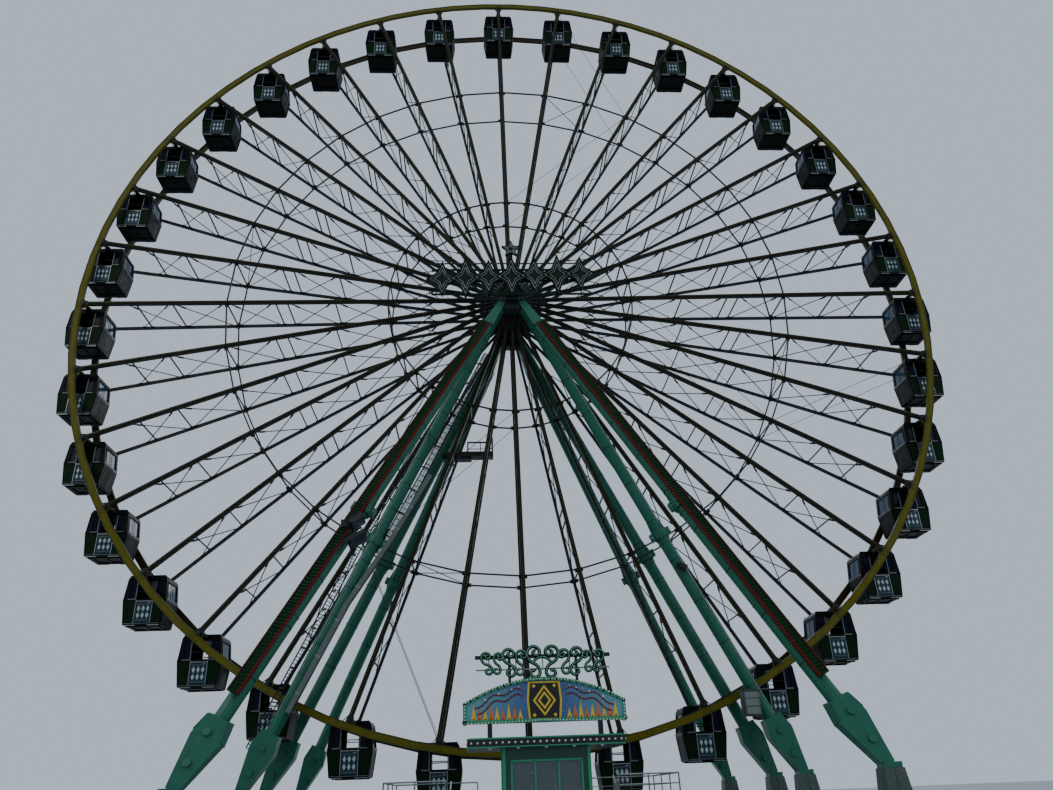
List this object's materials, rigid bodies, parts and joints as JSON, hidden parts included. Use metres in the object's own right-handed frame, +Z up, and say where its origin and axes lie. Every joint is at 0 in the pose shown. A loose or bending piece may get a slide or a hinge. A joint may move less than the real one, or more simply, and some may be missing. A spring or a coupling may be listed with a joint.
{
  "type": "ferris wheel, 1:2 scale model",
  "caption": "Scale model of a travelling ferris wheel: twin yellow rims on spoke pairs, closed level gondolas, raked tube legs, boarding deck and pay booth.",
  "frame": {"origin": "on the ground under the hub centre, at the middle of the bounding box floor", "axes": "+Z up, the wheel turns about Y, and its front, with the star sign and the pay booth, faces -Y"},
  "size_m": [23.1244, 10.7, 24.087],
  "materials": {
    "rim_paint": "satin yellow paint",
    "spoke_paint": "satin light grey paint",
    "hub_paint": "dark satin paint",
    "bare_steel": "galvanised steel",
    "leg_paint": "satin teal green paint",
    "panel_paint": "gloss dark green paint",
    "cabin_paint": "dark green cabin paint",
    "base_paint": "worn dark green grey paint",
    "deck_plate": "worn grey tread plate",
    "sign_metal": "pale teal silver paint",
    "booth_paint": "satin green paint",
    "arch_paint": "gloss blue paint"
  },
  "bodies": {
    "stand": {"shaft": "bare_steel", "frame_front": "leg_paint", "frame_rear": "leg_paint", "leg_front_left": "leg_paint", "leg_front_right": "leg_paint", "leg_rear_left": "leg_paint", "leg_rear_right": "leg_paint", "light_panel_left": "panel_paint", "light_panel_right": "panel_paint", "service_platform": "bare_steel", "hub_sign": "sign_metal", "base_left": "base_paint", "base_right": "base_paint", "base_cross": "base_paint", "boarding_deck": "deck_plate", "pay_booth": "booth_paint", "arch_sign": "arch_paint"},
    "wheel": {"hub_drum": "hub_paint", "rim_front": "rim_paint", "rim_rear": "rim_paint", "spokes_front": "spoke_paint", "spokes_rear": "spoke_paint"},
    "gondola_01": {"gondola_01": "cabin_paint"},
    "gondola_02": {"gondola_02": "cabin_paint"},
    "gondola_03": {"gondola_03": "cabin_paint"},
    "gondola_04": {"gondola_04": "cabin_paint"},
    "gondola_05": {"gondola_05": "cabin_paint"},
    "gondola_06": {"gondola_06": "cabin_paint"},
    "gondola_07": {"gondola_07": "cabin_paint"},
    "gondola_08": {"gondola_08": "cabin_paint"},
    "gondola_09": {"gondola_09": "cabin_paint"},
    "gondola_10": {"gondola_10": "cabin_paint"},
    "gondola_11": {"gondola_11": "cabin_paint"},
    "gondola_12": {"gondola_12": "cabin_paint"},
    "gondola_13": {"gondola_13": "cabin_paint"},
    "gondola_14": {"gondola_14": "cabin_paint"},
    "gondola_15": {"gondola_15": "cabin_paint"},
    "gondola_16": {"gondola_16": "cabin_paint"},
    "gondola_17": {"gondola_17": "cabin_paint"},
    "gondola_18": {"gondola_18": "cabin_paint"},
    "gondola_19": {"gondola_19": "cabin_paint"},
    "gondola_20": {"gondola_20": "cabin_paint"},
    "gondola_21": {"gondola_21": "cabin_paint"},
    "gondola_22": {"gondola_22": "cabin_paint"},
    "gondola_23": {"gondola_23": "cabin_paint"},
    "gondola_24": {"gondola_24": "cabin_paint"},
    "gondola_25": {"gondola_25": "cabin_paint"},
    "gondola_26": {"gondola_26": "cabin_paint"},
    "gondola_27": {"gondola_27": "cabin_paint"},
    "gondola_28": {"gondola_28": "cabin_paint"},
    "gondola_29": {"gondola_29": "cabin_paint"},
    "gondola_30": {"gondola_30": "cabin_paint"},
    "gondola_31": {"gondola_31": "cabin_paint"},
    "gondola_32": {"gondola_32": "cabin_paint"},
    "gondola_33": {"gondola_33": "cabin_paint"},
    "gondola_34": {"gondola_34": "cabin_paint"},
    "gondola_35": {"gondola_35": "cabin_paint"},
    "gondola_36": {"gondola_36": "cabin_paint"}
  },
  "joints": [
    {"name": "wheel_spin", "type": "hinge", "parent": "stand", "child": "wheel", "pos_m": [0, 0, 12.8], "axis": [0, 1, 0], "continuous": true},
    {"name": "gondola_01_level", "type": "hinge", "parent": "wheel", "child": "gondola_01", "pos_m": [-0.11599, 0, 23.87619], "axis": [0, 1, 0], "continuous": true},
    {"name": "gondola_02_level", "type": "hinge", "parent": "wheel", "child": "gondola_02", "pos_m": [-2.03759, 0, 23.68778], "axis": [0, 1, 0], "continuous": true},
    {"name": "gondola_03_level", "type": "hinge", "parent": "wheel", "child": "gondola_03", "pos_m": [-3.89728, 0, 23.16854], "axis": [0, 1, 0], "continuous": true},
    {"name": "gondola_04_level", "type": "hinge", "parent": "wheel", "child": "gondola_04", "pos_m": [-5.63855, 0, 22.33427], "axis": [0, 1, 0], "continuous": true},
    {"name": "gondola_05_level", "type": "hinge", "parent": "wheel", "child": "gondola_05", "pos_m": [-7.2085, 0, 21.2103], "axis": [0, 1, 0], "continuous": true},
    {"name": "gondola_06_level", "type": "hinge", "parent": "wheel", "child": "gondola_06", "pos_m": [-8.55941, 0, 19.83078], "axis": [0, 1, 0], "continuous": true},
    {"name": "gondola_07_level", "type": "hinge", "parent": "wheel", "child": "gondola_07", "pos_m": [-9.65026, 0, 18.23764], "axis": [0, 1, 0], "continuous": true},
    {"name": "gondola_08_level", "type": "hinge", "parent": "wheel", "child": "gondola_08", "pos_m": [-10.44789, 0, 16.47928], "axis": [0, 1, 0], "continuous": true},
    {"name": "gondola_09_level", "type": "hinge", "parent": "wheel", "child": "gondola_09", "pos_m": [-10.92806, 0, 14.60913], "axis": [0, 1, 0], "continuous": true},
    {"name": "gondola_10_level", "type": "hinge", "parent": "wheel", "child": "gondola_10", "pos_m": [-11.07619, 0, 12.68401], "axis": [0, 1, 0], "continuous": true},
    {"name": "gondola_11_level", "type": "hinge", "parent": "wheel", "child": "gondola_11", "pos_m": [-10.88778, 0, 10.76241], "axis": [0, 1, 0], "continuous": true},
    {"name": "gondola_12_level", "type": "hinge", "parent": "wheel", "child": "gondola_12", "pos_m": [-10.36854, 0, 8.90272], "axis": [0, 1, 0], "continuous": true},
    {"name": "gondola_13_level", "type": "hinge", "parent": "wheel", "child": "gondola_13", "pos_m": [-9.53427, 0, 7.16145], "axis": [0, 1, 0], "continuous": true},
    {"name": "gondola_14_level", "type": "hinge", "parent": "wheel", "child": "gondola_14", "pos_m": [-8.4103, 0, 5.5915], "axis": [0, 1, 0], "continuous": true},
    {"name": "gondola_15_level", "type": "hinge", "parent": "wheel", "child": "gondola_15", "pos_m": [-7.03078, 0, 4.24059], "axis": [0, 1, 0], "continuous": true},
    {"name": "gondola_16_level", "type": "hinge", "parent": "wheel", "child": "gondola_16", "pos_m": [-5.43764, 0, 3.14974], "axis": [0, 1, 0], "continuous": true},
    {"name": "gondola_17_level", "type": "hinge", "parent": "wheel", "child": "gondola_17", "pos_m": [-3.67928, 0, 2.35211], "axis": [0, 1, 0], "continuous": true},
    {"name": "gondola_18_level", "type": "hinge", "parent": "wheel", "child": "gondola_18", "pos_m": [-1.80913, 0, 1.87194], "axis": [0, 1, 0], "continuous": true},
    {"name": "gondola_19_level", "type": "hinge", "parent": "wheel", "child": "gondola_19", "pos_m": [0.11599, 0, 1.72381], "axis": [0, 1, 0], "continuous": true},
    {"name": "gondola_20_level", "type": "hinge", "parent": "wheel", "child": "gondola_20", "pos_m": [2.03759, 0, 1.91222], "axis": [0, 1, 0], "continuous": true},
    {"name": "gondola_21_level", "type": "hinge", "parent": "wheel", "child": "gondola_21", "pos_m": [3.89728, 0, 2.43146], "axis": [0, 1, 0], "continuous": true},
    {"name": "gondola_22_level", "type": "hinge", "parent": "wheel", "child": "gondola_22", "pos_m": [5.63855, 0, 3.26573], "axis": [0, 1, 0], "continuous": true},
    {"name": "gondola_23_level", "type": "hinge", "parent": "wheel", "child": "gondola_23", "pos_m": [7.2085, 0, 4.3897], "axis": [0, 1, 0], "continuous": true},
    {"name": "gondola_24_level", "type": "hinge", "parent": "wheel", "child": "gondola_24", "pos_m": [8.55941, 0, 5.76922], "axis": [0, 1, 0], "continuous": true},
    {"name": "gondola_25_level", "type": "hinge", "parent": "wheel", "child": "gondola_25", "pos_m": [9.65026, 0, 7.36236], "axis": [0, 1, 0], "continuous": true},
    {"name": "gondola_26_level", "type": "hinge", "parent": "wheel", "child": "gondola_26", "pos_m": [10.44789, 0, 9.12072], "axis": [0, 1, 0], "continuous": true},
    {"name": "gondola_27_level", "type": "hinge", "parent": "wheel", "child": "gondola_27", "pos_m": [10.92806, 0, 10.99087], "axis": [0, 1, 0], "continuous": true},
    {"name": "gondola_28_level", "type": "hinge", "parent": "wheel", "child": "gondola_28", "pos_m": [11.07619, 0, 12.91599], "axis": [0, 1, 0], "continuous": true},
    {"name": "gondola_29_level", "type": "hinge", "parent": "wheel", "child": "gondola_29", "pos_m": [10.88778, 0, 14.83759], "axis": [0, 1, 0], "continuous": true},
    {"name": "gondola_30_level", "type": "hinge", "parent": "wheel", "child": "gondola_30", "pos_m": [10.36854, 0, 16.69728], "axis": [0, 1, 0], "continuous": true},
    {"name": "gondola_31_level", "type": "hinge", "parent": "wheel", "child": "gondola_31", "pos_m": [9.53427, 0, 18.43855], "axis": [0, 1, 0], "continuous": true},
    {"name": "gondola_32_level", "type": "hinge", "parent": "wheel", "child": "gondola_32", "pos_m": [8.4103, 0, 20.0085], "axis": [0, 1, 0], "continuous": true},
    {"name": "gondola_33_level", "type": "hinge", "parent": "wheel", "child": "gondola_33", "pos_m": [7.03078, 0, 21.35941], "axis": [0, 1, 0], "continuous": true},
    {"name": "gondola_34_level", "type": "hinge", "parent": "wheel", "child": "gondola_34", "pos_m": [5.43764, 0, 22.45026], "axis": [0, 1, 0], "continuous": true},
    {"name": "gondola_35_level", "type": "hinge", "parent": "wheel", "child": "gondola_35", "pos_m": [3.67928, 0, 23.24789], "axis": [0, 1, 0], "continuous": true},
    {"name": "gondola_36_level", "type": "hinge", "parent": "wheel", "child": "gondola_36", "pos_m": [1.80913, 0, 23.72806], "axis": [0, 1, 0], "continuous": true}
  ],
  "couplings": [
    {"joint": "gondola_01_level", "follows": "wheel_spin", "ratio": -1},
    {"joint": "gondola_02_level", "follows": "wheel_spin", "ratio": -1},
    {"joint": "gondola_03_level", "follows": "wheel_spin", "ratio": -1},
    {"joint": "gondola_04_level", "follows": "wheel_spin", "ratio": -1},
    {"joint": "gondola_05_level", "follows": "wheel_spin", "ratio": -1},
    {"joint": "gondola_06_level", "follows": "wheel_spin", "ratio": -1},
    {"joint": "gondola_07_level", "follows": "wheel_spin", "ratio": -1},
    {"joint": "gondola_08_level", "follows": "wheel_spin", "ratio": -1},
    {"joint": "gondola_09_level", "follows": "wheel_spin", "ratio": -1},
    {"joint": "gondola_10_level", "follows": "wheel_spin", "ratio": -1},
    {"joint": "gondola_11_level", "follows": "wheel_spin", "ratio": -1},
    {"joint": "gondola_12_level", "follows": "wheel_spin", "ratio": -1},
    {"joint": "gondola_13_level", "follows": "wheel_spin", "ratio": -1},
    {"joint": "gondola_14_level", "follows": "wheel_spin", "ratio": -1},
    {"joint": "gondola_15_level", "follows": "wheel_spin", "ratio": -1},
    {"joint": "gondola_16_level", "follows": "wheel_spin", "ratio": -1},
    {"joint": "gondola_17_level", "follows": "wheel_spin", "ratio": -1},
    {"joint": "gondola_18_level", "follows": "wheel_spin", "ratio": -1},
    {"joint": "gondola_19_level", "follows": "wheel_spin", "ratio": -1},
    {"joint": "gondola_20_level", "follows": "wheel_spin", "ratio": -1},
    {"joint": "gondola_21_level", "follows": "wheel_spin", "ratio": -1},
    {"joint": "gondola_22_level", "follows": "wheel_spin", "ratio": -1},
    {"joint": "gondola_23_level", "follows": "wheel_spin", "ratio": -1},
    {"joint": "gondola_24_level", "follows": "wheel_spin", "ratio": -1},
    {"joint": "gondola_25_level", "follows": "wheel_spin", "ratio": -1},
    {"joint": "gondola_26_level", "follows": "wheel_spin", "ratio": -1},
    {"joint": "gondola_27_level", "follows": "wheel_spin", "ratio": -1},
    {"joint": "gondola_28_level", "follows": "wheel_spin", "ratio": -1},
    {"joint": "gondola_29_level", "follows": "wheel_spin", "ratio": -1},
    {"joint": "gondola_30_level", "follows": "wheel_spin", "ratio": -1},
    {"joint": "gondola_31_level", "follows": "wheel_spin", "ratio": -1},
    {"joint": "gondola_32_level", "follows": "wheel_spin", "ratio": -1},
    {"joint": "gondola_33_level", "follows": "wheel_spin", "ratio": -1},
    {"joint": "gondola_34_level", "follows": "wheel_spin", "ratio": -1},
    {"joint": "gondola_35_level", "follows": "wheel_spin", "ratio": -1},
    {"joint": "gondola_36_level", "follows": "wheel_spin", "ratio": -1}
  ]
}
